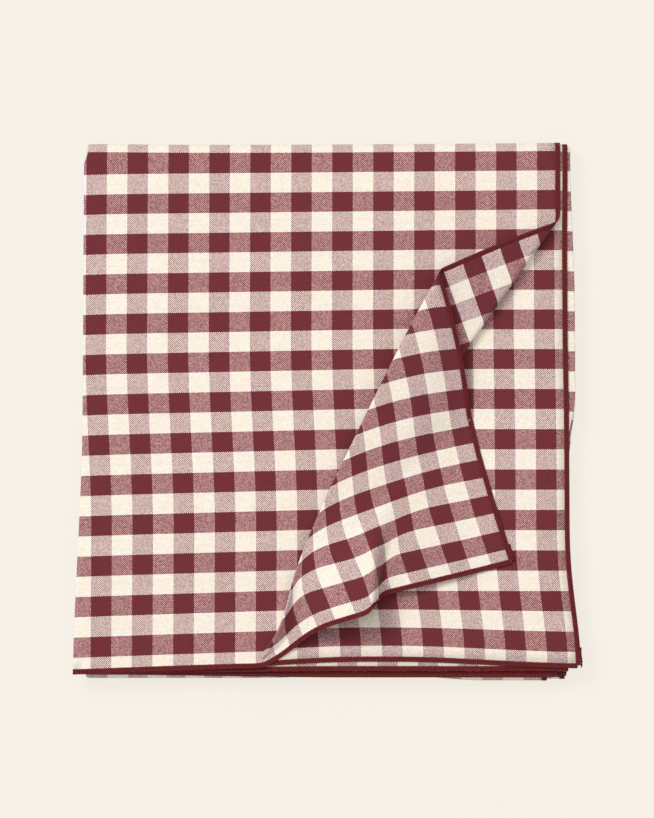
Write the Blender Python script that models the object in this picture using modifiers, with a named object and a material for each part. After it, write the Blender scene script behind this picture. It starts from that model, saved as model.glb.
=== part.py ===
"""A gingham tablecloth folded to sixteen layers, with one corner of its top layer turned back in a pleat.

Metres, +Z up. +X runs across the folded cloth, and +Y runs back from its four cut corners.
The cloth is folded in half twice across its width and then in half twice along its length, so all four
cut corners lie over each other at the front right. The top layer's pleat is shaped like a cone: it
starts in a point at the front edge and opens at the right edge.
"""
import math

import bmesh
import bpy

# Driving dimensions, in metres and radians.
CLOTH_WIDTH = 1.412
CLOTH_LENGTH = 1.576
CLOTH_THICKNESS = 0.0006
LAYER_PITCH = 0.00125
OVERLOCK_WIDTH = 0.0036
JOIN_GAP = CLOTH_THICKNESS / 2
SECOND_EDGE_OVERHANG = 0.010  # the second layer's cut edge, beyond the top layer's
HALFWAY_FOLD_OVERHANG = 0.011  # the fold at half the width, beyond the top layer's cut edge
LOWER_HEM_SETBACK = 0.003  # the lower hem stops short of the upper one, at the front
FRONT_FOLD_OVERHANG = 0.004  # the fold at half the length starts this far in front of the upper hem
APEX_FROM_LEFT = 0.134
APEX_FROM_FRONT = 0.005
MOUTH_FROM_BACK = 0.046  # from the pleat's lower fold, where it opens at the side edge, to the back fold
PLEAT_TAKE_UP = 0.354  # radians of cloth that the pleat folds away
PLEAT_BEND = 0.0105  # radius of the pleat's folds, as a share of the distance from the apex
SMALLEST_BEND = 0.0014
PLY_SLOPE = math.radians(12)  # the pleat's middle ply climbs this steeply
FALL_SLOPE = math.radians(14)  # the flap comes down over it this steeply
POINT_SLOPE = math.radians(40)
PLEAT_FULL_AT = 0.090  # distance from the apex where the pleat is fully folded over
ARCH_LENGTH = 0.100
ARCH_HEIGHT = 0.019
ARCH_SHORTENS = 0.010
ARCH_SPREAD = math.radians(24)
TAIL_LENGTH = 0.014
TAIL_RADIUS = 0.0005
TAIL_GAP = 0.0006

# How finely the sheet is divided.
TURN_STEPS = 5
RUN_STEPS = 2
RING_STEPS = 13
TAIL_STEPS = 5

HALF_STRIP = 1.5 * LAYER_PITCH
STRIP_HEIGHTS = (HALF_STRIP, 0.5 * LAYER_PITCH, -0.5 * LAYER_PITCH, -HALF_STRIP)
STACK_HEIGHTS = tuple(CLOTH_THICKNESS / 2 + step * LAYER_PITCH for step in (13.5, 9.5, 5.5, 1.5))
TOP_HEIGHT = CLOTH_THICKNESS / 2 + 15 * LAYER_PITCH
ROUND_ACROSS = math.pi * 2.5 * LAYER_PITCH  # cloth in the three turns, whose radii add up to 2.5 pitches
ROUND_ALONG = math.pi * 11.5 * LAYER_PITCH
REACH = (CLOTH_WIDTH - SECOND_EDGE_OVERHANG - 2 * HALFWAY_FOLD_OVERHANG - ROUND_ACROSS) / 4
DEPTH = (CLOTH_LENGTH + LOWER_HEM_SETBACK - 2 * FRONT_FOLD_OVERHANG - ROUND_ALONG) / 4
PLEAT_ANGLE = math.atan2(DEPTH - MOUTH_FROM_BACK - APEX_FROM_FRONT, REACH - APEX_FROM_LEFT)


def clear_scene():
    for obj in list(bpy.data.objects):
        bpy.data.objects.remove(obj)


def new_collection(name):
    collection = bpy.data.collections.new(name)
    bpy.context.scene.collection.children.link(collection)
    return collection


def new_material(name, colour, roughness):
    made = bpy.data.materials.new(name)
    made.use_nodes = True
    shader = made.node_tree.nodes["Principled BSDF"]
    shader.inputs["Base Color"].default_value = (*colour, 1.0)
    shader.inputs["Roughness"].default_value = roughness
    shader.inputs["Metallic"].default_value = 0.0
    return made


def smooth(value, low, high):
    share = min(max((value - low) / (high - low), 0.0), 1.0)
    return share * share * (3 - 2 * share)


def mix(first, second, share):
    return first + (second - first) * share


# Folding. A strip folded in four is seven legs: four runs joined by three turns. A place on it is a step
# from 0 to 7, and the whole part of the step says which leg it is on.


def run(start, end, height, facing):
    return lambda share: (mix(start, end, share), height, 0.0, facing)


def turn(at, first, last, side, facing):
    centre = (first + last) / 2
    radius = abs(first - last) / 2
    begin = 1 if first > last else -1

    def place(share):
        out = side * math.sin(math.pi * share)
        up = begin * math.cos(math.pi * share)
        return at + radius * out, centre + radius * up, facing * out, facing * up

    return place


def fold_legs(first_edge, last_edge, far, near, heights):
    """Both cut edges lie at the near side. A leg gives a place, a height and which way its top face looks."""
    top, upper, lower, bottom = heights
    side = 1 if far > near else -1
    return (
        run(first_edge, far, top, 1),
        turn(far, top, bottom, side, 1),
        run(far, near, bottom, -1),
        turn(near, bottom, lower, -side, 1),
        run(near, far, lower, 1),
        turn(far, lower, upper, side, -1),
        run(far, last_edge, upper, -1),
    )


ACROSS = fold_legs(REACH, REACH + SECOND_EDGE_OVERHANG, 0.0, REACH + HALFWAY_FOLD_OVERHANG, STRIP_HEIGHTS)
ALONG = fold_legs(0.0, LOWER_HEM_SETBACK, DEPTH, -FRONT_FOLD_OVERHANG, STACK_HEIGHTS)


def on_legs(legs, step):
    leg = min(int(step), len(legs) - 1)
    return legs[leg](step - leg)


# The pleat. At each distance from the apex, the cloth follows one profile of bends and straights.


def pleat_profile(distance):
    """[(length, turn)] of the pleat at this distance from its apex, and the length that it takes up."""
    folded = smooth(distance, 0.008, PLEAT_FULL_AT)
    bend = max(PLEAT_BEND * distance, SMALLEST_BEND)
    climb = mix(math.radians(70), math.pi - PLY_SLOPE, folded)
    fall = mix(POINT_SLOPE, FALL_SLOPE, folded)
    rise = bend * (1 - math.cos(climb)) + bend * (math.cos(fall) - math.cos(climb))

    def parts(ply):
        drop = rise + ply * math.sin(climb) - bend * (1 - math.cos(fall))
        return [
            (bend * climb, climb),
            (ply, 0.0),
            (bend * (climb + fall), -climb - fall),
            (drop / math.sin(fall), 0.0),
            (bend * fall, fall),
        ]

    wanted = PLEAT_TAKE_UP * distance
    none, some = taken_up(parts(0.0)), taken_up(parts(0.01))
    ply = max(0.01 * (wanted - none) / (some - none), 0.0)
    return parts(ply), taken_up(parts(ply))


def advance(length, bend):
    """How far a bend or straight that starts level goes (along, up)."""
    if abs(bend) < 1e-9:
        return length, 0.0
    radius = length / bend
    return radius * math.sin(bend), radius * (1 - math.cos(bend))


def along_profile(profile, length):
    """(along, up) after this length of the profile, which goes on level past its end."""
    heading, along, up = 0.0, 0.0, 0.0
    for part, bend in profile:
        used = min(part, length)
        share = used / part if part > 0 else 0.0
        ahead, above = advance(used, bend * share)
        along += ahead * math.cos(heading) - above * math.sin(heading)
        up += ahead * math.sin(heading) + above * math.cos(heading)
        heading += bend * share
        length -= used
        if length <= 0:
            return along, up
    return along + length, up


def taken_up(profile):
    length = sum(part for part, _ in profile)
    return length - along_profile(profile, length)[0]


def arch(distance, angle):
    """(lift, shortening) where the flap's front edge bows up off the layer below."""
    strength = 1 - smooth(angle, 0.0, ARCH_SPREAD)
    share = min(max((distance - APEX_FROM_FRONT) / ARCH_LENGTH, 0.0), 1.0)
    return strength * ARCH_HEIGHT * math.sin(math.pi * share) ** 2, strength * ARCH_SHORTENS * share


def top_point(x, y):
    """Place of a point of the top layer that would lie at x, y if it were flat."""
    east, north = x - APEX_FROM_LEFT, y - APEX_FROM_FRONT
    distance, angle = math.hypot(east, north), math.atan2(north, east)
    profile, _ = pleat_profile(max(distance, 0.001))
    first_bend = profile[0][0] / profile[0][1]
    start = PLEAT_ANGLE + first_bend / max(distance, 0.001)
    if angle >= start or distance < 0.001:
        return x, y, TOP_HEIGHT
    along, up = along_profile(profile, distance * (start - angle))
    fading = smooth(angle, -math.pi, -0.35)
    turned = mix(angle, start - along / distance, fading)
    lift, shortening = arch(distance, max(angle, 0.0))
    flat = distance - shortening * fading
    up = (up + lift) * fading
    return (
        APEX_FROM_LEFT + flat * math.cos(turned),
        APEX_FROM_FRONT + flat * math.sin(turned),
        TOP_HEIGHT + up,
    )


def cloth_point(across, along, beyond_side=0.0, beyond_front=0.0):
    """Place of a point of the cloth. The last two values are how far it lies outside a cut edge."""
    if across <= 1 and along <= 1:
        return top_point(REACH * (1 - across) + beyond_side, DEPTH * along - beyond_front)
    x, height, _, _ = on_legs(ACROSS, across)
    y, z, lean, up = on_legs(ALONG, along)
    return x + beyond_side, y + height * lean - beyond_front, z + height * up


def leg_steps(first_leg, last_leg):
    """Steps along the legs, close together on the turns."""
    steps = []
    for leg in range(first_leg, last_leg + 1):
        count = TURN_STEPS if leg % 2 else RUN_STEPS
        steps += [leg + index / count for index in range(count)]
    return steps + [last_leg + 1.0]


def spaced(first, last, count):
    return [mix(first, last, index / count) for index in range(count + 1)]


def front_places():
    """Places along the top layer's front edge, from left to right, close together at the apex."""
    apex = APEX_FROM_LEFT
    near = [apex + offset for offset in (-0.030, -0.012, -0.004, 0.0, 0.003, 0.006, 0.010, 0.015, 0.022)]
    return spaced(0.0, apex - 0.060, 2) + near + spaced(apex + 0.034, REACH, 11)


def side_places():
    """Places along the top layer's side edge, from front to back, close together at the pleat."""
    angles = [PLEAT_ANGLE + math.radians(turned) for turned in spaced(-20.0, 1.4, 24)]
    across = REACH - APEX_FROM_LEFT
    crossed = [APEX_FROM_FRONT + across * math.tan(angle) for angle in angles]
    crossed = [place for place in crossed if place < DEPTH - 0.006]
    return spaced(0.0, crossed[0], 9)[:-1] + crossed + [DEPTH]


def sheet_of_grid(name, rows, thickness, surface, collection, hole=0):
    """A sheet through rows of points: a grid whose vertices are put in place, thickened by Solidify.

    hole is how many rows and columns of faces are left out at the first corner.
    """
    columns = len(rows[0])
    mesh = bpy.data.meshes.new(name)
    bm = bmesh.new()
    bmesh.ops.create_grid(bm, x_segments=columns - 1, y_segments=len(rows) - 1, size=1.0)
    bm.verts.index_update()
    left_out = [face for face in bm.faces if all(in_corner(v.index, columns, hole) for v in face.verts)]
    for index, vertex in enumerate(bm.verts):
        vertex.co = rows[index // columns][index % columns]
    bmesh.ops.delete(bm, geom=left_out, context="FACES")
    bmesh.ops.remove_doubles(bm, verts=bm.verts, dist=1e-6)
    bmesh.ops.dissolve_degenerate(bm, edges=bm.edges, dist=1e-7)
    bmesh.ops.recalc_face_normals(bm, faces=bm.faces)
    bm.to_mesh(mesh)
    bm.free()
    mesh.materials.append(surface)
    obj = bpy.data.objects.new(name, mesh)
    collection.objects.link(obj)
    shell = obj.modifiers.new("cloth thickness", "SOLIDIFY")
    shell.thickness = thickness
    shell.offset = 0.0
    return obj


def in_corner(index, columns, count):
    return index // columns <= count and index % columns <= count


def top_panel(surface, collection):
    """The top layer as a fan of rays from the pleat's apex to the panel's edges."""
    front = [(x, 0.0) for x in front_places()]
    side = [(REACH, y) for y in side_places()[1:-1]]
    back = [(x, DEPTH - JOIN_GAP) for x in reversed(spaced(JOIN_GAP, REACH, 4))]
    left = [(JOIN_GAP, y) for y in reversed(spaced(0.0, DEPTH - JOIN_GAP, 4)[:-1])]
    front[0] = left[-1]
    shares = [(index / RING_STEPS) ** 1.4 for index in range(RING_STEPS + 1)]
    rows = []
    for x, y in front + side + back + left + front[:1]:
        across, along = x - APEX_FROM_LEFT, y - APEX_FROM_FRONT
        rows.append([top_point(APEX_FROM_LEFT + across * s, APEX_FROM_FRONT + along * s) for s in shares])
    return sheet_of_grid("cloth_top_layer", rows, CLOTH_THICKNESS, surface, collection)


def lower_layers(surface, collection):
    """The other fifteen layers, in one sheet with the top layer's panel cut out."""
    steps = leg_steps(0, 6)
    rows = [[cloth_point(across, along) for across in steps] for along in steps]
    return sheet_of_grid("cloth_folded_layers", rows, CLOTH_THICKNESS, surface, collection, RUN_STEPS)


def overlock(name, places, surface, collection):
    """A run of overlock stitching: a narrow strip along a cut edge, through inner and outer points."""
    rows = [list(row) for row in zip(*places)]
    return sheet_of_grid(name, rows, CLOTH_THICKNESS, surface, collection)


def side_overlock(name, across, along_steps, surface, collection):
    near, far = JOIN_GAP, JOIN_GAP + OVERLOCK_WIDTH
    places = [[cloth_point(across, step, beyond_side=out) for out in (near, far)] for step in along_steps]
    return overlock(name, places, surface, collection)


def front_overlock(name, along, across_steps, surface, collection):
    """This one also covers the two corners, past the side edges."""
    near, far = JOIN_GAP, JOIN_GAP + OVERLOCK_WIDTH
    places = [[cloth_point(0.0, along, far, out) for out in (near, far)]]
    places += [[cloth_point(step, along, 0.0, out) for out in (near, far)] for step in across_steps]
    places += [[cloth_point(7.0, along, far, out) for out in (near, far)]]
    return overlock(name, places, surface, collection)


def thread_tail(name, across, along, surface, collection):
    """The chain of thread left at a corner, turned back along the side edge."""
    beyond = JOIN_GAP + OVERLOCK_WIDTH + TAIL_GAP + TAIL_RADIUS
    front = OVERLOCK_WIDTH
    inward = 1 / DEPTH if along == 0.0 else -1 / DEPTH
    curve = bpy.data.curves.new(name, "CURVE")
    curve.dimensions = "3D"
    curve.bevel_depth = TAIL_RADIUS
    curve.bevel_resolution = 2
    curve.use_fill_caps = True
    spline = curve.splines.new("POLY")
    spline.points.add(TAIL_STEPS)
    for index, point in enumerate(spline.points):
        back = TAIL_LENGTH * index / TAIL_STEPS - front
        step = along + max(back, 0.0) * inward
        point.co = (*cloth_point(across, step, beyond, max(-back, 0.0)), 1.0)
    curve.materials.append(surface)
    obj = bpy.data.objects.new(name, curve)
    collection.objects.link(obj)
    return obj


def world_corners(objects):
    bpy.context.view_layer.update()
    graph = bpy.context.evaluated_depsgraph_get()
    points = []
    for obj in objects:
        mesh = obj.evaluated_get(graph).to_mesh()
        points += [obj.matrix_world @ vertex.co for vertex in mesh.vertices]
        obj.evaluated_get(graph).to_mesh_clear()
    low = [min(point[axis] for point in points) for axis in range(3)]
    high = [max(point[axis] for point in points) for axis in range(3)]
    return low, high


def stand_on_origin(objects):
    """The origin is the middle of the underside."""
    low, high = world_corners(objects)
    for obj in objects:
        obj.location = (-(low[0] + high[0]) / 2, -(low[1] + high[1]) / 2, -low[2])


def build():
    clear_scene()
    collection = new_collection("folded_tablecloth")
    gingham = new_material("gingham", (0.42, 0.16, 0.19), 0.9)
    thread = new_material("overlock_thread", (0.17, 0.012, 0.022), 0.6)
    front_steps = [1 - x / REACH for x in reversed(front_places())] + leg_steps(1, 6)[1:]
    side_steps = [y / DEPTH for y in side_places()] + leg_steps(1, 6)[1:]
    later_steps = leg_steps(0, 6)
    pieces = [
        lower_layers(gingham, collection),
        top_panel(gingham, collection),
        front_overlock("overlock_upper_hem", 0.0, front_steps, thread, collection),
        front_overlock("overlock_lower_hem", 7.0, later_steps, thread, collection),
        side_overlock("overlock_top_side", 0.0, side_steps, thread, collection),
        side_overlock("overlock_second_side", 7.0, later_steps, thread, collection),
        thread_tail("thread_tail_flap_corner", 0.0, 0.0, thread, collection),
        thread_tail("thread_tail_second_corner", 7.0, 0.0, thread, collection),
        thread_tail("thread_tail_third_corner", 7.0, 7.0, thread, collection),
        thread_tail("thread_tail_fourth_corner", 0.0, 7.0, thread, collection),
    ]
    stand_on_origin(pieces)


build()
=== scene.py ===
# %% [markdown]
# # A folded gingham tablecloth
# The real thing is one rectangle of plain-woven cotton, burgundy and cream, with a burgundy overlock stitch
# round its edge. It is folded to sixteen layers, and one corner of the top layer is pushed back in a pleat.
# This script makes the cloth as one continuous sheet, so the checks run on round every fold as they do on
# the real cloth. It could be drawn as separate slabs, but then the checks would stop at each fold. The frame
# gives the sizes and places, so it is loaded first.

# %% Load the frame
import math

import bmesh
import bpy
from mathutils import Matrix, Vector


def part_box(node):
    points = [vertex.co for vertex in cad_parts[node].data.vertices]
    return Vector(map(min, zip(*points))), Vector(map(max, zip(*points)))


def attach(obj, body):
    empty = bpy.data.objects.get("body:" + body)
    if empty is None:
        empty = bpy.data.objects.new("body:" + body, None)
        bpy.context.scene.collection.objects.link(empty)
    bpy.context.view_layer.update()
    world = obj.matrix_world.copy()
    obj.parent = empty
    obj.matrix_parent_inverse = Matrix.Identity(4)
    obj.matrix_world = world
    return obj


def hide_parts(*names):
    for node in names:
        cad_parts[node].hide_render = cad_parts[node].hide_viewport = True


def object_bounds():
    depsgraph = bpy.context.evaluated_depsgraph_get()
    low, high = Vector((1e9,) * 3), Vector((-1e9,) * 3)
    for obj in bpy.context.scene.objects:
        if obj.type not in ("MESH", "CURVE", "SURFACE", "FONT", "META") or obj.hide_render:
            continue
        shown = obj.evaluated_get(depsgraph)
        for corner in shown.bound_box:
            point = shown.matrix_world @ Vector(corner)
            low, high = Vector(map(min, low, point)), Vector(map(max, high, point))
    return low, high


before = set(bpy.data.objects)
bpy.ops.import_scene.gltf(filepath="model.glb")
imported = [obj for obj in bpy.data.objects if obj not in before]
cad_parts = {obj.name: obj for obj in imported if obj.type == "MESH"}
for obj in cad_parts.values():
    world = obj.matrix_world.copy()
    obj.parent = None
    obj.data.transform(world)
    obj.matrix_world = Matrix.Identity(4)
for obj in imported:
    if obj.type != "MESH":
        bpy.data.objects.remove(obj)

cad_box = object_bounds()
print("the frame spans", [round(v, 4) for v in (cad_box[1] - cad_box[0])], "m")

# %% [markdown]
# ## Sizes
# A check of this gingham is 15 mm, which is 20 yarns. The cloth is 0.6 mm thick and lies in sixteen layers.
# Keeping these as names means that a change of yarn or of thickness runs through the whole script.

# %% Sizes of the cloth
MM = 0.001
LAYERS = 16
CHECK = 15 * MM
YARNS_IN_CHECK = 20
YARN = CHECK / YARNS_IN_CHECK
THICKNESS = 0.6 * MM
THREAD_OUT = 2.1 * MM  # how far the thread's middle lies outside the top layer's solid
SLACK = 8.35 * MM  # a hidden layer lies in slight waves, so it holds more cloth than its length
print("a check holds", YARNS_IN_CHECK, "yarns of", YARN / MM, "mm")

# %% [markdown]
# ## Places of the folds and edges
# Every place is worked out from the boxes of the frame's nodes. The lower layers' box gives the folds and the
# height of a layer, the top layer's box gives its cut edges, and two runs of stitching give the other two.
# A fold reaches out past its last straight stretch by the radius of its turn, which is taken off here.

# %% Places from the frame
stack_low, stack_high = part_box("cloth_folded_layers")
top_low, top_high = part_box("cloth_top_layer")
second_low, second_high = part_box("overlock_second_side")
hem_low, hem_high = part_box("overlock_lower_hem")

PITCH = (stack_high.z - stack_low.z - THICKNESS) / (LAYERS - 1)
TOP = THICKNESS / 2 + (LAYERS - 1) * PITCH
TURNS_ACROSS = (1.5, 0.5, 0.5)  # radii of the three turns, in layers
TURNS_ALONG = (7.5, 3.5, 0.5)
LEFT = stack_low.x + TURNS_ACROSS[0] * PITCH + THICKNESS / 2
HALF_FOLD = stack_high.x - TURNS_ACROSS[1] * PITCH - THICKNESS / 2
BACK = stack_high.y - TURNS_ALONG[0] * PITCH - THICKNESS / 2
FRONT_FOLD = stack_low.y + TURNS_ALONG[1] * PITCH + THICKNESS / 2
CUT = top_high.x + THREAD_OUT
FRONT = top_low.y - THREAD_OUT
SECOND_CUT = (second_low.x + second_high.x) / 2
LOWER_FRONT = (hem_low.y + hem_high.y) / 2
REACH, DEPTH = CUT - LEFT, BACK - FRONT
print("one layer measures", round(REACH, 4), "by", round(DEPTH, 4), "m")
print("a layer takes", round(PITCH / MM, 3), "mm of height")

# %% [markdown]
# ## The flat cloth
# Folding in half twice leaves seven legs: four straight runs joined by three turns. Their lengths, added up,
# are the size of the cloth when it is opened out, and they also say which check lies where.

# %% Lengths of the legs
HALF_REACH, HALF_DEPTH = HALF_FOLD - LEFT + SLACK, BACK - FRONT_FOLD
ARCS_ACROSS = tuple(math.pi * PITCH * radius for radius in TURNS_ACROSS)
ARCS_ALONG = tuple(math.pi * PITCH * radius for radius in TURNS_ALONG)
LAST_REACH, LAST_DEPTH = SECOND_CUT - LEFT, BACK - LOWER_FRONT
LEGS_ACROSS = (REACH, ARCS_ACROSS[0], HALF_REACH, ARCS_ACROSS[1], HALF_REACH, ARCS_ACROSS[2], LAST_REACH)
LEGS_ALONG = (DEPTH, ARCS_ALONG[0], HALF_DEPTH, ARCS_ALONG[1], HALF_DEPTH, ARCS_ALONG[2], LAST_DEPTH)
CLOTH_WIDTH, CLOTH_LENGTH = sum(LEGS_ACROSS), sum(LEGS_ALONG)
print("the whole cloth measures", round(CLOTH_WIDTH, 3), "by", round(CLOTH_LENGTH, 3), "m")

# %% [markdown]
# ## The camera
# A long lens from high above the front edge keeps the checks nearly square: from close by, the far checks
# would shrink.

# %% Camera
ELEVATION = math.radians(79)
DISTANCE = 6.0
SPAN = 0.598  # metres of the floor along the longer side of the view
AIM = Vector((LEFT + 0.1795, FRONT + 0.1935, TOP))

camera = bpy.data.objects.new("camera", bpy.data.cameras.new("camera"))
bpy.context.scene.collection.objects.link(camera)
bpy.context.scene.camera = camera
camera.location = AIM + Vector((0, -math.cos(ELEVATION), math.sin(ELEVATION))) * DISTANCE
camera.rotation_euler = (math.pi / 2 - ELEVATION, 0, 0)
camera.data.sensor_width = 36
camera.data.lens = camera.data.sensor_width * DISTANCE / SPAN
camera.data.clip_start, camera.data.clip_end = 0.1, 50
print("camera at", [round(v, 3) for v in camera.location], "lens", round(camera.data.lens), "mm")

# %% [markdown]
# ## The lights
# The light is soft. A large lamp at the upper left shapes the pleat, and a wider one overhead evens it out.
# Small lamps would draw hard shadows beside every fold. The denoiser stays off, because it would smooth the
# weave away.

# %% Lights
scene = bpy.context.scene
scene.view_settings.view_transform = "Standard"
scene.cycles.use_denoising = False


def add_lamp(name, place, size, power, colour):
    lamp = bpy.data.objects.new(name, bpy.data.lights.new(name, "AREA"))
    lamp.data.size = size
    lamp.data.energy = power
    lamp.data.color = colour
    lamp.location = place
    lamp.rotation_mode = "QUATERNION"
    lamp.rotation_quaternion = Vector(place).to_track_quat("Z", "Y")
    bpy.context.scene.collection.objects.link(lamp)


add_lamp("window_side_lamp", place=(-2.5, 2.0, 4.0), size=2.2, power=160, colour=(1.0, 0.975, 0.94))
add_lamp("overhead_lamp", place=(0.2, -0.3, 2.6), size=2.6, power=20, colour=(1.0, 0.985, 0.96))
print("two soft lamps")

# %% [markdown]
# ## The world
# The light that comes off the walls of a room is stood for by one even, slightly warm world colour. A map of
# a real room would add reflections, but cotton shows none.

# %% World
WORLD_COLOUR, WORLD_STRENGTH = (1.0, 0.985, 0.955, 1), 0.47

world = bpy.data.worlds.new("studio")
scene.world = world
world.use_nodes = True
sky = world.node_tree.nodes.get("Background") or world.node_tree.nodes.new("ShaderNodeBackground")
out = world.node_tree.nodes.get("World Output") or world.node_tree.nodes.new("ShaderNodeOutputWorld")
world.node_tree.links.new(sky.outputs["Background"], out.inputs["Surface"])
sky.inputs["Color"].default_value = WORLD_COLOUR
sky.inputs["Strength"].default_value = WORLD_STRENGTH
print("a pale world of strength", WORLD_STRENGTH)

# %% [markdown]
# ## Shader maths as sums
# A node tree is easier to read as arithmetic. `Value` wraps one socket that carries a number, so that
# `1 - a * b` adds its Math nodes. It only has the sums that this cloth needs.

# %% Numbers in a shader


class Value:
    """One number socket of a node tree, with arithmetic."""

    def __init__(self, tree, socket):
        self.tree, self.socket = tree, socket

    def sum(self, operation, *items, clamped=False):
        node = self.tree.nodes.new("ShaderNodeMath")
        node.operation, node.use_clamp = operation, clamped
        for slot, item in zip(node.inputs, items):
            if isinstance(item, Value):
                self.tree.links.new(item.socket, slot)
            else:
                slot.default_value = item
        return Value(self.tree, node.outputs[0])

    def __add__(self, other):
        return self.sum("ADD", self, other)

    def __radd__(self, other):
        return self.sum("ADD", other, self)

    def __sub__(self, other):
        return self.sum("SUBTRACT", self, other)

    def __rsub__(self, other):
        return self.sum("SUBTRACT", other, self)

    def __mul__(self, other):
        return self.sum("MULTIPLY", self, other)

    def __rmul__(self, other):
        return self.sum("MULTIPLY", other, self)

    def __truediv__(self, other):
        return self.sum("DIVIDE", self, other)

    def __rtruediv__(self, other):
        return self.sum("DIVIDE", other, self)

    def __mod__(self, other):
        return self.sum("MODULO", self, other)

    def __rmod__(self, other):
        return self.sum("MODULO", other, self)

    def __abs__(self):
        return self.sum("ABSOLUTE", self)

    def whole(self):
        return self.sum("FLOOR", self)

    def part(self):
        return self.sum("FRACT", self)

    def cosine(self):
        return self.sum("COSINE", self)

    def clamped(self):
        return self.sum("MULTIPLY", self, 1.0, clamped=True)

    def between(self, low, high):
        """0 below low, 1 above high, and a straight rise in between."""
        return ((self - low) / (high - low)).clamped()


print("numbers can be added, multiplied and clamped")

# %% [markdown]
# ## Everything else in a shader
# `Paint` is a material. Its `node` method makes any node from a type, its settings and its inputs by name.
# Colours never go through a Math node, which would turn them grey: `mix` blends them, and `shade` multiplies
# them as vectors.

# %% Materials


def socket_named(sockets, name):
    """A socket found by its identifier, or by its label with underscores for spaces."""
    return next(slot for slot in sockets if name in (slot.identifier, slot.name.replace(" ", "_")))


class Paint:
    """A material's node tree, with its Principled shader."""

    def __init__(self, name):
        self.material = bpy.data.materials.new(name)
        self.material.use_nodes = True
        self.tree = self.material.node_tree
        self.shader = self.tree.nodes["Principled BSDF"]

    def feed(self, slot, item):
        if isinstance(item, Value):
            self.tree.links.new(item.socket, slot)
        elif isinstance(item, bpy.types.NodeSocket):
            self.tree.links.new(item, slot)
        else:
            slot.default_value = item

    def node(self, kind, settings=None, **inputs):
        made = self.tree.nodes.new(kind)
        for key, setting in (settings or {}).items():
            setattr(made, key, setting)
        for key, item in inputs.items():
            self.feed(socket_named(made.inputs, key), item)
        return made

    def value(self, socket):
        return Value(self.tree, socket)

    def uv(self, name):
        """A UV map's two numbers, and both together."""
        place = self.node("ShaderNodeUVMap", {"uv_map": name}).outputs[0]
        split = self.node("ShaderNodeSeparateXYZ", Vector=place)
        return self.value(split.outputs[0]), self.value(split.outputs[1]), place

    def mix(self, share, first, second):
        blend = self.node("ShaderNodeMix", {"data_type": "RGBA"},
                          Factor_Float=share, A_Color=first, B_Color=second)
        return socket_named(blend.outputs, "Result_Color")

    def shade(self, colour, brightness):
        """A colour made brighter or darker by a number that varies."""
        grey = self.node("ShaderNodeCombineColor", Red=brightness, Green=brightness, Blue=brightness)
        times = self.node("ShaderNodeVectorMath", {"operation": "MULTIPLY"},
                          Vector=colour, Vector_001=grey.outputs[0])
        return times.outputs[0]

    def noise(self, vector, scale, detail=2.0, roughness=0.5):
        made = self.node("ShaderNodeTexNoise", Vector=vector, Scale=scale, Detail=detail, Roughness=roughness)
        return self.value(made.outputs[0])

    def chance(self, dimensions, **inputs):
        """A different number from 0 to 1 for each whole number that goes in."""
        settings = {"noise_dimensions": dimensions}
        return self.value(self.node("ShaderNodeTexWhiteNoise", settings, **inputs).outputs[0])

    def bump(self, height, distance, strength):
        made = self.node("ShaderNodeBump", Height=height, Distance=distance, Strength=strength)
        return made.outputs["Normal"]

    def finish(self, **inputs):
        for key, item in inputs.items():
            self.feed(socket_named(self.shader.inputs, key), item)
        return self.material


print("materials can be mixed, shaded and bumped")

# %% [markdown]
# ## The floor
# The floor is plain and pale. Much of its light is its own, so the shadow under the cloth stays faint, as on
# a bright studio table. A brighter lamp would do that too, but it would bleach the cloth.

# %% Floor
FLOOR_HALF_SIZE = 40.0
FLOOR_GLOW = (0.923, 0.896, 0.831, 1)
FLOOR_DARKER, FLOOR_PALER = (0.088, 0.085, 0.079, 1), (0.096, 0.093, 0.086, 1)

floor_mesh = bpy.data.meshes.new("floor")
bm = bmesh.new()
bmesh.ops.create_grid(bm, x_segments=8, y_segments=8, size=FLOOR_HALF_SIZE)
bm.to_mesh(floor_mesh)
bm.free()
floor = bpy.data.objects.new("floor", floor_mesh)
scene.collection.objects.link(floor)
floor.location.z = cad_box[0].z - 0.1 * MM

paint = Paint("pale_floor")
paper = paint.noise(paint.node("ShaderNodeTexCoord").outputs["Object"], 6.0)
tone = paint.mix(paper.between(0.3, 0.7), FLOOR_DARKER, FLOOR_PALER)
floor_mesh.materials.append(paint.finish(Base_Color=tone, Roughness=0.9, Emission_Color=FLOOR_GLOW,
                                         Emission_Strength=0.863))
print("floor at", round(floor.location.z, 5))

# %% [markdown]
# ## Smooth changes
# Cloth has no sudden steps, so nearly every shape below is a soft rise from one value to another. Curves
# drawn by hand would do as well, but three short functions can be read and changed.

# %% Blending helpers


def smooth(value, low, high):
    share = min(max((value - low) / (high - low), 0.0), 1.0)
    return share * share * (3 - 2 * share)


def mix(first, second, share):
    return first + (second - first) * share


def spaced(first, last, count):
    return [mix(first, last, index / count) for index in range(count + 1)]


print("a soft rise passes its middle at", smooth(0.5, 0.0, 1.0))

# %% [markdown]
# ## Folding a strip
# The cloth is folded across first, which makes a strip four layers thick, and that strip is folded again
# along its length. A place on the folded strip is a step from 0 to 7, and the whole part of the step names
# its leg. One table of legs serves both folds, and a point of the cloth is found by going through the two in
# turn. Folding flat pieces by hand would need a new shape for each layer.

# %% Fold tables


def run(start, end, height, facing):
    return lambda share: (mix(start, end, share), height, 0.0, facing)


def turn(at, first, last, side, facing):
    centre, radius = (first + last) / 2, abs(first - last) / 2
    begin = 1 if first > last else -1

    def place(share):
        out = side * math.sin(math.pi * share)
        up = begin * math.cos(math.pi * share)
        return at + radius * out, centre + radius * up, facing * out, facing * up

    return place


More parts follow.
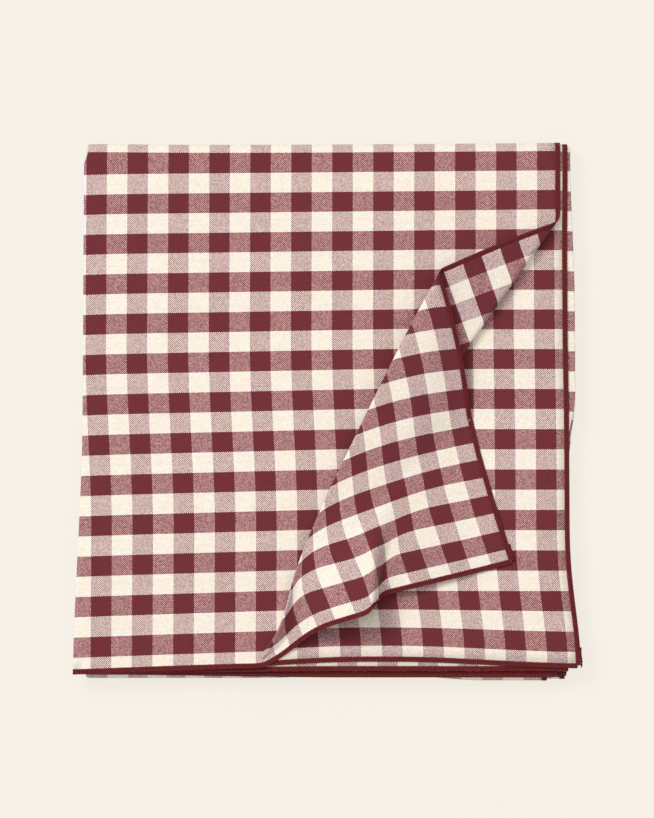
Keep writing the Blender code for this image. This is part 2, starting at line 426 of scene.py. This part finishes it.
def fold_legs(first_edge, last_edge, far, near, heights):
    """Both cut edges lie at the near side. A leg gives a place, a height and which way its top face looks."""
    top, upper, lower, bottom = heights
    side = 1 if far > near else -1
    return (
        run(first_edge, far, top, 1),
        turn(far, top, bottom, side, 1),
        run(far, near, bottom, -1),
        turn(near, bottom, lower, -side, 1),
        run(near, far, lower, 1),
        turn(far, lower, upper, side, -1),
        run(far, last_edge, upper, -1),
    )


def on_legs(legs, step):
    leg = min(int(step), 6)
    return legs[leg](step - leg)


STRIP_HEIGHTS = tuple(step * PITCH for step in (1.5, 0.5, -0.5, -1.5))
STACK_HEIGHTS = tuple(THICKNESS / 2 + step * PITCH for step in (13.5, 9.5, 5.5, 1.5))
ACROSS = fold_legs(CUT, SECOND_CUT, LEFT, HALF_FOLD, STRIP_HEIGHTS)
ALONG = fold_legs(FRONT, LOWER_FRONT, BACK, FRONT_FOLD, STACK_HEIGHTS)
print("fold tables for", len(ACROSS), "legs each way")

# %% [markdown]
# ## The pleat
# Push one corner of a sheet back and it bends into a cone: every line through the cone's apex stays
# straight. So the pleat is one profile, repeated at each distance from the apex at its own size. It is given
# as lengths and bends: it bends up and back, runs back over itself, bends again and comes down on the layer
# below. A cloth simulation would also fold it, but not to a chosen place.

# %% Profile of the pleat
APEX = Vector((LEFT + 123.6 * MM, FRONT + 6.3 * MM))
PLEAT_ANGLE = 0.974  # radians from the front edge to the pleat's rounded outer edge, seen from above
TAKE_UP = 0.359  # radians of cloth that the pleat folds away
OPEN_AT, FULL_AT = 8 * MM, 90 * MM  # distances from the apex where the fold begins and is complete
BEND_GROWS, TIGHTEST_BEND = 0.0105, 1.4 * MM  # bend radius per metre from the apex, and its least
CLIMB = math.radians(70), math.radians(168)  # angle turned on the way up, at the two distances
FALL = math.radians(40), math.radians(14)  # angle of the way down, at the two distances


def advance(length, bend):
    """How far a bend or straight that starts level goes (along, up)."""
    if abs(bend) < 1e-9:
        return length, 0.0
    radius = length / bend
    return radius * math.sin(bend), radius * (1 - math.cos(bend))


def along_profile(profile, length):
    """(along, up) after this length of the profile, which goes on level past its end."""
    heading, along, up = 0.0, 0.0, 0.0
    for part, bend in profile:
        used = min(part, length)
        share = used / part if part > 0 else 0.0
        ahead, above = advance(used, bend * share)
        along += ahead * math.cos(heading) - above * math.sin(heading)
        up += ahead * math.sin(heading) + above * math.cos(heading)
        heading += bend * share
        length -= used
        if length <= 0:
            return along, up
    return along + length, up


def taken_up(profile):
    length = sum(part for part, _ in profile)
    return length - along_profile(profile, length)[0]


def pleat_profile(distance):
    """[(length, bend)] of the pleat at this distance from the apex."""
    folded = smooth(distance, OPEN_AT, FULL_AT)
    bend = max(BEND_GROWS * distance, TIGHTEST_BEND)
    climb, fall = mix(*CLIMB, folded), mix(*FALL, folded)
    rise = bend * (1 - math.cos(climb)) + bend * (math.cos(fall) - math.cos(climb))

    def parts(ply):
        drop = rise + ply * math.sin(climb) - bend * (1 - math.cos(fall))
        return [
            (bend * climb, climb),
            (ply, 0.0),
            (bend * (climb + fall), -climb - fall),
            (drop / math.sin(fall), 0.0),
            (bend * fall, fall),
        ]

    probe = 10 * MM  # the take-up grows evenly with the ply, so two plies give the right one
    none, some = taken_up(parts(0.0)), taken_up(parts(probe))
    ply = max(probe * (TAKE_UP * distance - none) / (some - none), 0.0)
    return parts(ply)


print("pleat opens at", round(math.degrees(PLEAT_ANGLE), 1), "degrees")

# %% [markdown]
# ## The dome in the flap
# Near the front the folded-back flap bunches up: it rises in a soft dome and drops at a crease, and the cloth
# on the far side of the crease is gathered in. The flap's own places are used here, u in from its side edge
# and v back from its front edge, because the dome belongs to the cloth and not to the table. Soft rises
# multiplied together make such a bump without any sculpting.

# %% Dome and crease
DOME, GATHER, GATHER_TURN = 18.1 * MM, 20.0 * MM, -0.482
CREASE_AT, CREASE_LEAN, CREASE_FADES, CREASE_HALF = 111.3 * MM, 0.493, 0.325, 26.3 * MM
LOOSE_LIFT = 7 * MM


def dome(u, v):
    """(lift, gather) of the flap near its front edge."""
    crease = CREASE_AT - CREASE_LEAN * v
    half = CREASE_HALF * (0.75 + 2.25 * smooth(v, 0.0, 0.12))
    climb = smooth(CUT - APEX.x - u, 0.0, CUT - APEX.x - crease)
    fall = 1 - smooth(crease - u, -0.4 * half, 0.3 * half)
    lift = DOME * climb * fall * (1 - smooth(v, 0.010, 0.085))
    loose = LOOSE_LIFT * climb * smooth(u, 0.0, crease) * (1 - smooth(v, 0.14, 0.30))
    gather = GATHER * smooth(crease - u, -half, half) * (1 - smooth(v, 0.0, CREASE_FADES))
    return lift + loose, gather


print("the dome rises", round(dome(CREASE_AT, 0.0)[0] / MM, 1), "mm at the crease")

# %% [markdown]
# ## The flap off its cone
# Real cloth shears a little, so the flap doesn't lie just where a cone would put it. It slips and turns by a
# few millimetres, and the gather pulls it along. A slip that changes evenly keeps the checks straight, where
# moving single points by hand would bend them.

# %% Drift of the flap
FLAP_EAST = (-0.0010, -0.0336, 0.0476, -0.64)  # at the corner, with u, with v and with both
FLAP_NORTH = (-0.0069, 0.0961, -0.0329, 0.645)


def spread(slip, u, v):
    """A slip in metres that changes evenly over the flap."""
    corner, with_u, with_v, with_both = slip
    return corner + with_u * u + with_v * v + with_both * u * v


def flap_drift(u, v):
    _, gather = dome(u, v)
    east = spread(FLAP_EAST, u, v) - gather * math.cos(GATHER_TURN)
    north = spread(FLAP_NORTH, u, v) - gather * math.sin(GATHER_TURN)
    return Vector((east, north, 0))


print("the flap's corner slips", [round(slip / MM, 1) for slip in flap_drift(0.0, 0.0)], "mm")

# %% [markdown]
# ## The pleated point
# A point of the top layer that would lie past the pleat's line is carried round the profile. The second value
# says how far past the pleat it is, so that the flap's drift and dome fade in over the pleat.

# %% Points of the pleated layer
FADES_BELOW = -0.35  # radians round the apex, below which the fold fades, to nothing at minus pi
FLAP_FROM = 70 * MM  # distance from the apex at which the flap's own drift is in full


def top_point(x, y):
    """(place, how far past the pleat) of a point that would lie at x, y if the top layer were flat."""
    east, north = x - APEX.x, y - APEX.y
    distance, angle = max(math.hypot(east, north), 1e-4), math.atan2(north, east)
    profile = pleat_profile(distance)
    first_length, first_bend = profile[0]
    start = PLEAT_ANGLE + first_length / first_bend / distance  # one bend radius before the outer edge
    if angle >= start:
        return Vector((x, y, TOP)), 0.0
    length = distance * (start - angle)
    along, up = along_profile(profile, length)
    fading = smooth(angle, -math.pi, FADES_BELOW)
    turned = mix(angle, start - along / distance, fading)
    lift, _ = dome(CUT - x, y - FRONT)
    place = APEX + Vector((math.cos(turned), math.sin(turned))) * distance
    passed = smooth(length, 0.0, sum(part for part, _ in profile)) * fading * smooth(distance, 0.0, FLAP_FROM)
    return Vector((place.x, place.y, TOP + (up + lift * passed) * fading)), passed


print("the flap's corner lies", [round(v, 3) for v in top_point(CUT, FRONT)[0]])

# %% [markdown]
# ## Never quite square
# A hand lays cloth a few millimetres off. The top layer is drawn to the right at the front, its rows rise to
# the right, its left fold leans, and its back left corner is rounded. All these are small shifts, in
# millimetres, of the exact folds above.

# %% Drift of the top layer
FOLD_HOLDS = 12 * MM  # the fold keeps its own place this far in


def left_fold(y):
    """How far the left fold lies from a straight line."""
    leaning = 5.9 * smooth(y - FRONT, -0.010, 0.190) - 3.0
    rounded = 2.5 * smooth(y - BACK, -0.007, 0.002)
    return (leaning + rounded) * MM


def drift(x, y):
    right, front, near = x - LEFT, y - FRONT, 1 - (y - FRONT) / DEPTH
    drawn = 3.1 + 5.0 * (1 - smooth(front, 0.100, 0.245)) + 1.4 * (right / REACH) * (1 - near)
    rising = -1.0 + 0.6 * smooth(near, 0.6, 1.0) + (8 + 27 * near) * right - 0.5 * math.exp(-right / 0.015)
    corner = 2.6 * math.exp(-right / 0.07) * smooth(y - BACK, -0.012, 0.003)
    return Vector((drawn * MM, (rising + corner) * MM, 0))


def held_by_fold(east, x, y):
    """A shift to the east, which gives way to the fold's own near the left fold."""
    return mix(east, left_fold(y), math.exp(-max(x - LEFT, 0) / FOLD_HOLDS))


def top_layer_point(x, y):
    point, passed = top_point(x, y)
    moved = drift(x, y)
    moved.x = held_by_fold(moved.x, x, y)
    return point + moved * (1 - passed) + flap_drift(CUT - x, y - FRONT) * passed


print("the left fold leans by", round((left_fold(FRONT) - left_fold(BACK - 0.05)) / MM, 1), "mm")

# %% [markdown]
# ## The edges below
# At the right, the second layer's cut edge flares at the front, and the fold at half the width shows beside
# it towards the back. Below the second layer both end short of it, so that the stack steps in at the corner.
# One function for each edge moves the cloth and its thread together.

# %% Edges of the lower layers
CORNER_STRETCH = 110 * MM
SIDE_FLARES = (7.5, -4.0)  # mm, on the second layer and on those below it
FOLD_FLARES = (0.0, -7.5)


def flared(y, flare):
    """A flare in millimetres at the front corner, gone one stretch further back."""
    return flare * (1 - smooth(y - FRONT, 0.0, CORNER_STRETCH)) ** 1.5


def second_side(y, flare):
    """How far the cut edge beside the half fold bows out."""
    bowed = smooth(y - FRONT, 0.16, 0.26) * (1 - 0.8 * smooth(y - FRONT, 0.30, 0.38))
    return (flared(y, flare) - 0.8 * bowed) * MM


def half_fold(y, flare):
    """How far the fold at half the width bows out."""
    bowed = smooth(y - FRONT, 0.160, 0.205) * (1 - 0.43 * smooth(y - FRONT, 0.27, 0.38))
    return (0.5 + flared(y, flare) + 6.4 * bowed) * MM


def right_shift(y, across, along):
    below = 0 if along <= 1 else 1
    if across > 5:
        return second_side(y, SIDE_FLARES[below])
    return half_fold(y, FOLD_FLARES[below])


print("the second layer's corner flares by", round(right_shift(FRONT, 7, 0) / MM, 1), "mm")

# %% [markdown]
# ## Drift of the layers below
# The hems step back a little towards the right, and the front fold hides under them in the middle. Near the
# folds that the top layer shares, the layers follow its drift, or the sheet would crack there. A blend
# between the two drifts is smooth, where a switch from one to the other would leave a step.

# %% Drift of the lower layers


def front_shift(x, y, across, along):
    """How far north, in millimetres, the hems and the front fold lie from straight lines."""
    right, near = smooth(x - LEFT, 0.0, 0.2), 1 - smooth(y - FRONT, 0.0, 0.06)
    if along > 6:
        return -3.0 - 2.1 * right
    if along > 1:
        return (2.9 + 1.7 * smooth(x - LEFT, 0.14, 0.19) - 3.5 * smooth(x - LEFT, 0.24, 0.30)) * near
    if across > 5:
        return 3.6 * right + 5.0 * near * smooth(x - LEFT, 0.05, 0.2) * (1 - smooth(x - LEFT, 0.22, 0.36))
    return 1.8 * right


def lower_drift(x, y, across, along):
    right, near = smooth(x - LEFT, 0.0, 0.2), 1 - smooth(y - FRONT, 0.0, 0.06)
    at_back = drift(max(x, LEFT), BACK).y / MM
    north = mix(front_shift(x, y, across, along), at_back, smooth(y, BACK - 0.2, BACK))
    west = left_fold(y) + (9 * MM * near if along > 1 else 0.0)
    own = Vector((mix(west, right_shift(y, across, along), right), north * MM, 0))
    shared = drift(max(x, LEFT), min(y, BACK))
    shared.x = held_by_fold(shared.x, x, y)
    return own.lerp(shared, (1 - smooth(across, 1, 3)) * (1 - smooth(along, 1, 3)))


hem_corner = lower_drift(CUT, LOWER_FRONT, 7, 7)
print("the lower hem's corner drifts", [round(v / MM, 1) for v in hem_corner], "mm")

# %% [markdown]
# ## Any point of the cloth
# The thread and its tails use `cloth_point` too, so they always meet the cloth's edge.

# %% Points of the cloth


def cloth_point(across, along, beyond_side=0.0, beyond_front=0.0):
    """Place of a point of the cloth. The last two values are how far it lies outside a cut edge."""
    x, height, _, _ = on_legs(ACROSS, across)
    y, z, lean, up = on_legs(ALONG, along)
    flat_x, flat_y = x + beyond_side, y - beyond_front
    if across <= 1 and along <= 1:
        return top_layer_point(flat_x, flat_y)
    folded = Vector((flat_x, flat_y + height * lean, z + height * up))
    return folded + lower_drift(flat_x, flat_y, across, along)


def slide(across, along):
    """Cloth that has slipped round the left fold, so the checks there don't follow the fold."""
    x, y = mix(CUT, LEFT, min(across, 1.0)), mix(FRONT, BACK, min(along, 1.0))
    edge = math.exp(-max(x - LEFT, 0) / FOLD_HOLDS)
    return (drift(x, y).x - left_fold(y)) * edge * (1 - smooth(across, 1.0, 3.0))


def flat_place(step, lengths):
    """Distance from the first cut edge, in the flat cloth."""
    leg = min(int(step), 6)
    return sum(lengths[:leg]) + lengths[leg] * (step - leg)


def cloth_uv(across, along):
    """Place of the same point in the flat cloth, in metres."""
    return flat_place(across, LEGS_ACROSS) + slide(across, along), flat_place(along, LEGS_ALONG)


print("the far corner of the cloth lies flat at", [round(v, 3) for v in cloth_uv(7.0, 7.0)])

# %% [markdown]
# ## Grids through points
# Both parts of the sheet, and every thread, are a grid whose points are moved to where the functions above
# put them. The flat places go into a UV map, which carries the pattern. A grid is made before anything is
# deleted from its mesh, because its rows are found by number.

# %% Grid helpers


def grid_through(bm, points, places):
    """A grid of vertices put at rows of points, with rows of flat places kept as its UV map."""
    uv = bm.loops.layers.uv.verify()
    columns, before = len(points[0]), len(bm.verts)
    bmesh.ops.create_grid(bm, x_segments=columns - 1, y_segments=len(points) - 1, size=1.0)
    bm.verts.ensure_lookup_table()
    bm.verts.index_update()
    for vertex in bm.verts[before:]:
        row, column = divmod(vertex.index - before, columns)
        vertex.co = points[row][column]
    for face in bm.faces:
        if face.verts[0].index >= before:
            for loop in face.loops:
                row, column = divmod(loop.vert.index - before, columns)
                loop[uv].uv = places[row][column]


def cloth_grid(bm, flats):
    points = [[cloth_point(*flat) for flat in row] for row in flats]
    places = [[cloth_uv(*flat) for flat in row] for row in flats]
    grid_through(bm, points, places)


def merged_object(name, bm, uv_name):
    """The finished mesh as a shown object: doubles merged, faces turned outwards, smooth shading."""
    bmesh.ops.remove_doubles(bm, verts=bm.verts, dist=1e-6)
    bmesh.ops.dissolve_degenerate(bm, edges=bm.edges, dist=1e-7)
    bmesh.ops.recalc_face_normals(bm, faces=bm.faces)
    mesh = bpy.data.meshes.new(name)
    bm.to_mesh(mesh)
    print(name, "has", len(bm.verts), "points and", len(bm.faces), "faces,",
          sum(1 for edge in bm.edges if len(edge.link_faces) == 1), "border edges")
    bm.free()
    mesh.uv_layers[0].name = uv_name
    mesh.shade_smooth()
    made = bpy.data.objects.new(name, mesh)
    scene.collection.objects.link(made)
    return made


print("grids get their points and their UV map together")

# %% [markdown]
# ## The top layer as a fan
# A cone bends only across the lines through its apex, so the top layer is a fan of such lines. They stand
# close together in the pleat and wide apart elsewhere, which a plain grid couldn't do without far more faces.

# %% Fan of the top layer
RINGS, RING_SPREAD = 70, 1.3
BACK_STEPS = 44
LEFT_SHARES = spaced(0.0, 0.96, 40) + spaced(0.96, 1.0, 12)[1:]  # close together at the rounded back corner
LEFT_STEPS = len(LEFT_SHARES) - 1
NEAR_APEX = (-40, -28, -18, -11, -6, -3, -1, 1, 3, 5, 8, 11, 15, 19, 24)  # mm along the front edge


def top_fan():
    """Rows of flat places: each row runs from the apex out to the panel's edge."""
    centre = ((CUT - APEX.x) / REACH, (APEX.y - FRONT) / DEPTH)
    dense = [(APEX.x + offset * MM - LEFT) / REACH for offset in NEAR_APEX]
    front = spaced(0.0, dense[0], 6)[:-1] + dense[:-1] + spaced(dense[-1], 1.0, 44)
    angles = [PLEAT_ANGLE + math.radians(turned) for turned in spaced(-24.0, 1.6, 120)]
    crossed = [(APEX.y + (CUT - APEX.x) * math.tan(angle) - FRONT) / DEPTH for angle in angles]
    side = spaced(0.0, crossed[0], 40)[:-1] + crossed + spaced(crossed[-1], 1.0, 8)[1:]
    border = [(1 - share, 0.0) for share in front]
    border += [(0.0, share) for share in side[1:]]
    border += [(share, 1.0) for share in spaced(0.0, 1.0, BACK_STEPS)[1:]]
    border += [(1.0, share) for share in reversed(LEFT_SHARES[:-1])]
    rings = [(index / RINGS) ** RING_SPREAD for index in range(RINGS + 1)]
    return [[(mix(centre[0], a, ring), mix(centre[1], b, ring)) for ring in rings] for a, b in border]


bm = bmesh.new()
cloth_grid(bm, top_fan())
fan_points = len(bm.verts)
print("the fan has", fan_points, "points")

# %% [markdown]
# ## The other layers, and the whole sheet
# The rest is one grid over the whole cloth, with its lines close together on the turns. Where both directions
# are on their first leg it is the top layer again, so those faces are deleted. The fan and the grid share
# their border points, and merging them joins the sheet. Solidify then gives it the thickness of the cloth.
# Modelling both faces and the rim by hand would give the same wall with twice the work.

# %% The whole sheet
TURN_STEPS = 10
RUN_STEPS = {2: 8, 4: 8, 6: 36}


def later_steps():
    steps = []
    for leg in range(1, 7):
        count = TURN_STEPS if leg % 2 else RUN_STEPS[leg]
        steps += [leg + index / count for index in range(count)]
    return steps + [7.0]


def in_top_layer(index, columns):
    return 0 <= index // columns <= LEFT_STEPS and index % columns <= BACK_STEPS


across = spaced(0.0, 1.0, BACK_STEPS)[:-1] + later_steps()
along = LEFT_SHARES[:-1] + later_steps()
cloth_grid(bm, [[(a, b) for a in across] for b in along])
hole = [f for f in bm.faces if all(in_top_layer(v.index - fan_points, len(across)) for v in f.verts)]
bmesh.ops.delete(bm, geom=hole, context="FACES")
cloth = merged_object("tablecloth", bm, "flat_cloth")
wall = cloth.modifiers.new("cloth thickness", "SOLIDIFY")
wall.thickness = THICKNESS
wall.offset = 0.0

# %% [markdown]
# ## The gingham
# Gingham is plain weave: burgundy and cream yarns alternate in bands both ways. Where two burgundy bands
# cross, the cloth is burgundy, and where one band of each crosses, it is a salt-and-pepper mix. A drawing of
# squares would look printed, so the material asks which yarn is on top at each point and takes that yarn's
# colour. Every crossing has a slightly different shade, and a bump rounds it.

# %% Gingham material
ROW_OFFSET = 10.1 * MM
YARNS_BEFORE = 4000  # keeps the count of yarns above zero past the first edge
BURGUNDY = (0.143, 0.0200, 0.031, 1)
CREAM = (0.86, 0.79, 0.69, 1)
# Painted shade and painted bounced light: in the mixed squares the cream yarn is darker and pinker than
# CREAM. The darkening stands for the shade between the yarns, and the pink for red light off the burgundy
# yarns beside it.
SHADED_CREAM_IN_CREAM_ROW = (0.82, 0.67, 0.645, 1)
SHADED_CREAM_IN_BURGUNDY_ROW = (0.68, 0.41, 0.415, 1)


def gingham():
    paint = Paint("gingham")
    u, v, place = paint.uv("flat_cloth")
    warp, weft = u / YARN, (v - ROW_OFFSET) / YARN + YARNS_BEFORE
    warp_index, weft_index = warp.whole(), weft.whole()
    cell = paint.node("ShaderNodeCombineXYZ", X=warp_index, Y=weft_index).outputs[0]
    grain = paint.chance("2D", Vector=cell) - 0.5
    row_tone = paint.chance("1D", W=weft_index)
    blotch, slub = paint.noise(place, 750.0, 1.0), paint.noise(place, 160.0, 3.0, 0.6)
    cloudy = paint.noise(place, 9.0)

    crossing = (warp_index + weft_index) % 2.0
    lean = (crossing - 0.5) * 0.9 + grain * 0.5 + (blotch - 0.5) * 0.6 - 0.15
    warp_on_top = (lean + 0.5).clamped()
    column = (warp_index / YARNS_IN_CHECK).whole() % 2.0
    row = (weft_index / YARNS_IN_CHECK).whole() % 2.0
    # In the mixed squares the cream yarn takes the shaded cream above: painted shade between the yarns and
    # painted light bounced off the burgundy yarns.
    warp_colour = paint.mix(column, BURGUNDY, paint.mix(row, SHADED_CREAM_IN_BURGUNDY_ROW, CREAM))
    weft_colour = paint.mix(row, BURGUNDY, paint.mix(column, SHADED_CREAM_IN_CREAM_ROW, CREAM))
    colour = paint.mix(warp_on_top, weft_colour, warp_colour)

    shade = grain * 0.16 + (slub - 0.5) * 0.16 + (cloudy - 0.5) * 0.05 + (row_tone - 0.5) * 0.04 + 1.0
    across, along = warp.part() - 0.5, weft.part() - 0.5
    round_yarn = (0.25 - across * across) * (0.25 - along * along) * 16.0
    normal = paint.bump(round_yarn + slub * 0.5, 0.12 * MM, 0.5)
    return paint.finish(Base_Color=paint.shade(colour, shade), Roughness=0.88, Normal=normal,
                        Sheen_Weight=0.12, Sheen_Roughness=0.5, Specular_IOR_Level=0.25)


cloth.data.materials.append(gingham())
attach(cloth, "root")
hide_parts("cloth_folded_layers", "cloth_top_layer")
print("gingham with", round(CLOTH_WIDTH / CHECK, 1), "by", round(CLOTH_LENGTH / CHECK, 1), "checks")

# %% [markdown]
# ## The overlock thread
# An overlock machine throws threads round the cut edge and knots them. The thread slants round the rope and
# has a groove along its middle, where the loops meet. The UV map counts the ridges one way and the turn round
# the rope the other way, so the material follows the rope wherever it bends. Single fibres could be modelled,
# but at this size they only show as a change of tone.

# %% Thread material
RIDGE = 1.25 * MM


def thread_material(name, colour, pale):
    paint = Paint(name)
    along, around, place = paint.uv("thread")
    # Painted highlight: the crests of the slanting ridges are painted up to 24% brighter, and they turn to
    # the pale colour where a crest meets high fibre noise, as if the crests caught the light.
    strand = ((along + around) * (2 * math.pi)).cosine() * 0.5 + 0.5
    fibres, uneven = paint.noise(place, 9.0, 3.0, 0.6), paint.noise(place, 0.35)
    # Painted shade: the thread is painted 35% darker along the groove on the rope's top and bottom, where the
    # groove would lie in shade.
    groove = abs((around * 2).part() - 0.5).between(0.0, 0.14)
    shade = (strand * 0.24 + (fibres - 0.5) * 0.7 + (uneven - 0.5) * 0.6 + 0.91) * (groove * 0.35 + 0.65)
    tone = paint.mix((strand * fibres).between(0.25, 0.75), colour, pale)
    normal = paint.bump(fibres + strand * 0.5, 0.15 * MM, 0.5)
    return paint.finish(Base_Color=paint.shade(tone, shade), Roughness=0.7, Normal=normal,
                        Specular_IOR_Level=0.14)


# The second colour of each thread is the painted highlight of its ridge crests. It shows only where a crest
# meets high fibre noise.
overlock_thread = thread_material("overlock_thread", (0.105, 0.0095, 0.0125, 1), (0.27, 0.032, 0.040, 1))
tail_thread = thread_material("tail_thread", (0.11, 0.012, 0.016, 1), (0.26, 0.04, 0.048, 1))
print("two thread materials")

# %% [markdown]
# ## The overlock ropes
# Each run of stitching is a rope with a flattened, boxy section, swept along the cut edge by the same folding
# functions as the cloth. Low slanting ridges stand for the threads. A bevelled curve could do it too, but its
# section would twist on the tight folds, and here the outward side always points away from the cloth.

# %% Overlock rope
CORD_HALF = (1.95 * MM, 0.62 * MM)  # half the width and half the height
LEAST_HEIGHT = CORD_HALF[1] * 1.2
AROUND = 12
BOXY, GROOVE_DEPTH, GROOVE_NARROW = 0.7, 0.4, 25
RIDGE_RISE, TAPER_STEPS = 0.08, 3


def above_floor(point, height):
    return Vector((point.x, point.y, max(point.z, height)))


def boxed(share):
    return math.copysign(abs(share) ** BOXY, share)


def section(distance, outward, normal, size):
    """A ring of offsets round the rope, with the ridges and the groove."""
    ring = []
    for part in range(AROUND + 1):
        turned = 2 * math.pi * part / AROUND
        ridge = 1 + RIDGE_RISE * math.cos(2 * math.pi * distance / RIDGE + turned)
        out, up = boxed(math.cos(turned)), boxed(math.sin(turned))
        up *= 1 - GROOVE_DEPTH * math.exp(-GROOVE_NARROW * out * out)
        ring.append((outward * CORD_HALF[0] * out + normal * CORD_HALF[1] * up) * (ridge * size))
    return ring


def rope(name, edge, marks):
    """A flattened, ridged tube along an edge, closed at both ends."""
    points, places, last = [], [], len(marks) - 1
    middles = [above_floor(edge(step, 0.0), LEAST_HEIGHT) for step, _ in marks]
    for index, (step, distance) in enumerate(marks):
        outward = (edge(step, 1 * MM) - edge(step, -1 * MM)).normalized()
        ahead = middles[min(index + 1, last)] - middles[max(index - 1, 0)]
        size = math.sqrt(min(index, last - index, TAPER_STEPS) / TAPER_STEPS)
        ring = section(distance, outward, outward.cross(ahead).normalized(), size)
        points.append([middles[index] + offset for offset in ring])
        places.append([(distance / RIDGE, part / AROUND) for part in range(AROUND + 1)])
    bm = bmesh.new()
    grid_through(bm, points, places)
    return merged_object(name, bm, "thread")


print("a rope is", round(2 * CORD_HALF[0] / MM, 1), "by", round(2 * CORD_HALF[1] / MM, 1), "mm")

# %% [markdown]
# ## Four runs of stitching
# The cloth has four cut edges, so there are four runs: two side edges, which go through the folds along the
# length, and two hems, which go through the folds across. Each stands for one node of the frame. All four
# come from one function, which is given the edge to follow.

# %% Overlock on the four edges


def edge_marks(lengths):
    """[(step, distance)] along the seven legs of a folded edge, four to a ridge."""
    marks, begun = [], 0.0
    for leg, length in enumerate(lengths):
        count = max(round(length / (RIDGE / 4)), 4)
        marks += [(leg + index / count, begun + length * index / count) for index in range(count)]
        begun += length
    return marks + [(7.0, begun)]


def side_edge(across):
    return lambda step, out: cloth_point(across, step, beyond_side=out)


def front_edge(along):
    return lambda step, out: cloth_point(step, along, beyond_front=out)


side_marks, hem_marks = edge_marks(LEGS_ALONG), edge_marks(LEGS_ACROSS)
ropes = {
    "overlock_top_side": rope("stitching_top_side", side_edge(0.0), side_marks),
    "overlock_second_side": rope("stitching_second_side", side_edge(7.0), side_marks),
    "overlock_upper_hem": rope("stitching_upper_hem", front_edge(0.0), hem_marks),
    "overlock_lower_hem": rope("stitching_lower_hem", front_edge(7.0), hem_marks),
}
for node, piece in ropes.items():
    piece.data.materials.append(overlock_thread)
    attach(piece, "root")
    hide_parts(node)

# %% [markdown]
# ## The thread tails
# Where the machine runs off a corner it leaves a short chain of thread, which is tucked back along the edge.
# Each chain is two strands twisted round each other. It lies just outside the rope, and at two of the corners
# half under it. One tube with a twisted pattern would be lighter, but its outline would be smooth.

# %% Strands of a tail
TAIL_LENGTH, TAIL_PAST, TAIL_STEPS = 15 * MM, 1.2 * MM, 60
TAIL_OUT, TAIL_SINKS, TAIL_CLEAR = 2.35 * MM, 0.7 * MM, 0.85 * MM
STRAND, STRAND_AROUND, STRANDS_APART = 0.42 * MM, 8, 0.9
TWIST = 4.2 * MM
WANDER, WANDER_RATE = 0.25 * MM, 500
TIP_STEPS = 2


def tail_middles(across, along, sinks):
    """The line that both strands wind round: past the corner first, then back along the side edge."""
    inward = 1 if along == 0.0 else -1
    middles = []
    for index in range(TAIL_STEPS + 1):
        back = TAIL_LENGTH * index / TAIL_STEPS - TAIL_PAST
        wander = WANDER * math.sin(back * WANDER_RATE)
        step = along + inward * max(back, 0.0) / DEPTH
        middle = cloth_point(across, step, TAIL_OUT + wander, max(-back, 0.0))
        middles.append(above_floor(middle - Vector((0, 0, sinks)), TAIL_CLEAR))
    return middles


def strand_rows(middles, start_angle):
    points, places, last = [], [], len(middles) - 1
    angles = [2 * math.pi * part / STRAND_AROUND for part in range(STRAND_AROUND + 1)]
    for index, middle in enumerate(middles):
        ahead = (middles[min(index + 1, last)] - middles[max(index - 1, 0)]).normalized()
        outward = Vector((1, 0, 0)).cross(ahead).normalized()
        side = ahead.cross(outward)
        distance = TAIL_LENGTH * index / last
        wound = 2 * math.pi * distance / TWIST + start_angle
        centre = middle + (side * math.cos(wound) + outward * math.sin(wound)) * STRAND * STRANDS_APART
        size = STRAND * math.sqrt(min(index, last - index, TIP_STEPS) / TIP_STEPS)
        points.append([centre + (side * math.cos(a) + outward * math.sin(a)) * size for a in angles])
        places.append([(distance / RIDGE, a / (2 * math.pi)) for a in angles])
    return points, places


print("a tail has", round(TAIL_LENGTH / TWIST, 1), "turns")

# %% [markdown]
# ## A tail at each corner
# The four corners of the cloth all lie at the front right, one above the other, apart from the one that goes
# with the flap. Each gets its own chain, as each run of stitching starts and stops there. Two strands go
# into one mesh, because they are one piece of thread.

# %% Thread tails
CORNERS = {  # across, along, how far the tail sinks
    "flap": (0.0, 0.0, 0.0),
    "second": (7.0, 0.0, TAIL_SINKS),
    "third": (7.0, 7.0, 0.0),
    "fourth": (0.0, 7.0, TAIL_SINKS),
}
for corner, (across, along, sinks) in CORNERS.items():
    bm = bmesh.new()
    for start_angle in (0.0, math.pi):
        grid_through(bm, *strand_rows(tail_middles(across, along, sinks), start_angle))
    tail = merged_object("tail_" + corner + "_corner", bm, "thread")
    tail.data.materials.append(tail_thread)
    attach(tail, "root")
    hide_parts("thread_tail_" + corner + "_corner")

# %% [markdown]
# ## Size and finish
# The shown cloth should fill about the same space as the frame. The frame's box is written down.

# %% Write down the frame's size
print("frame", [[round(c, 4) for c in v] for v in cad_box])
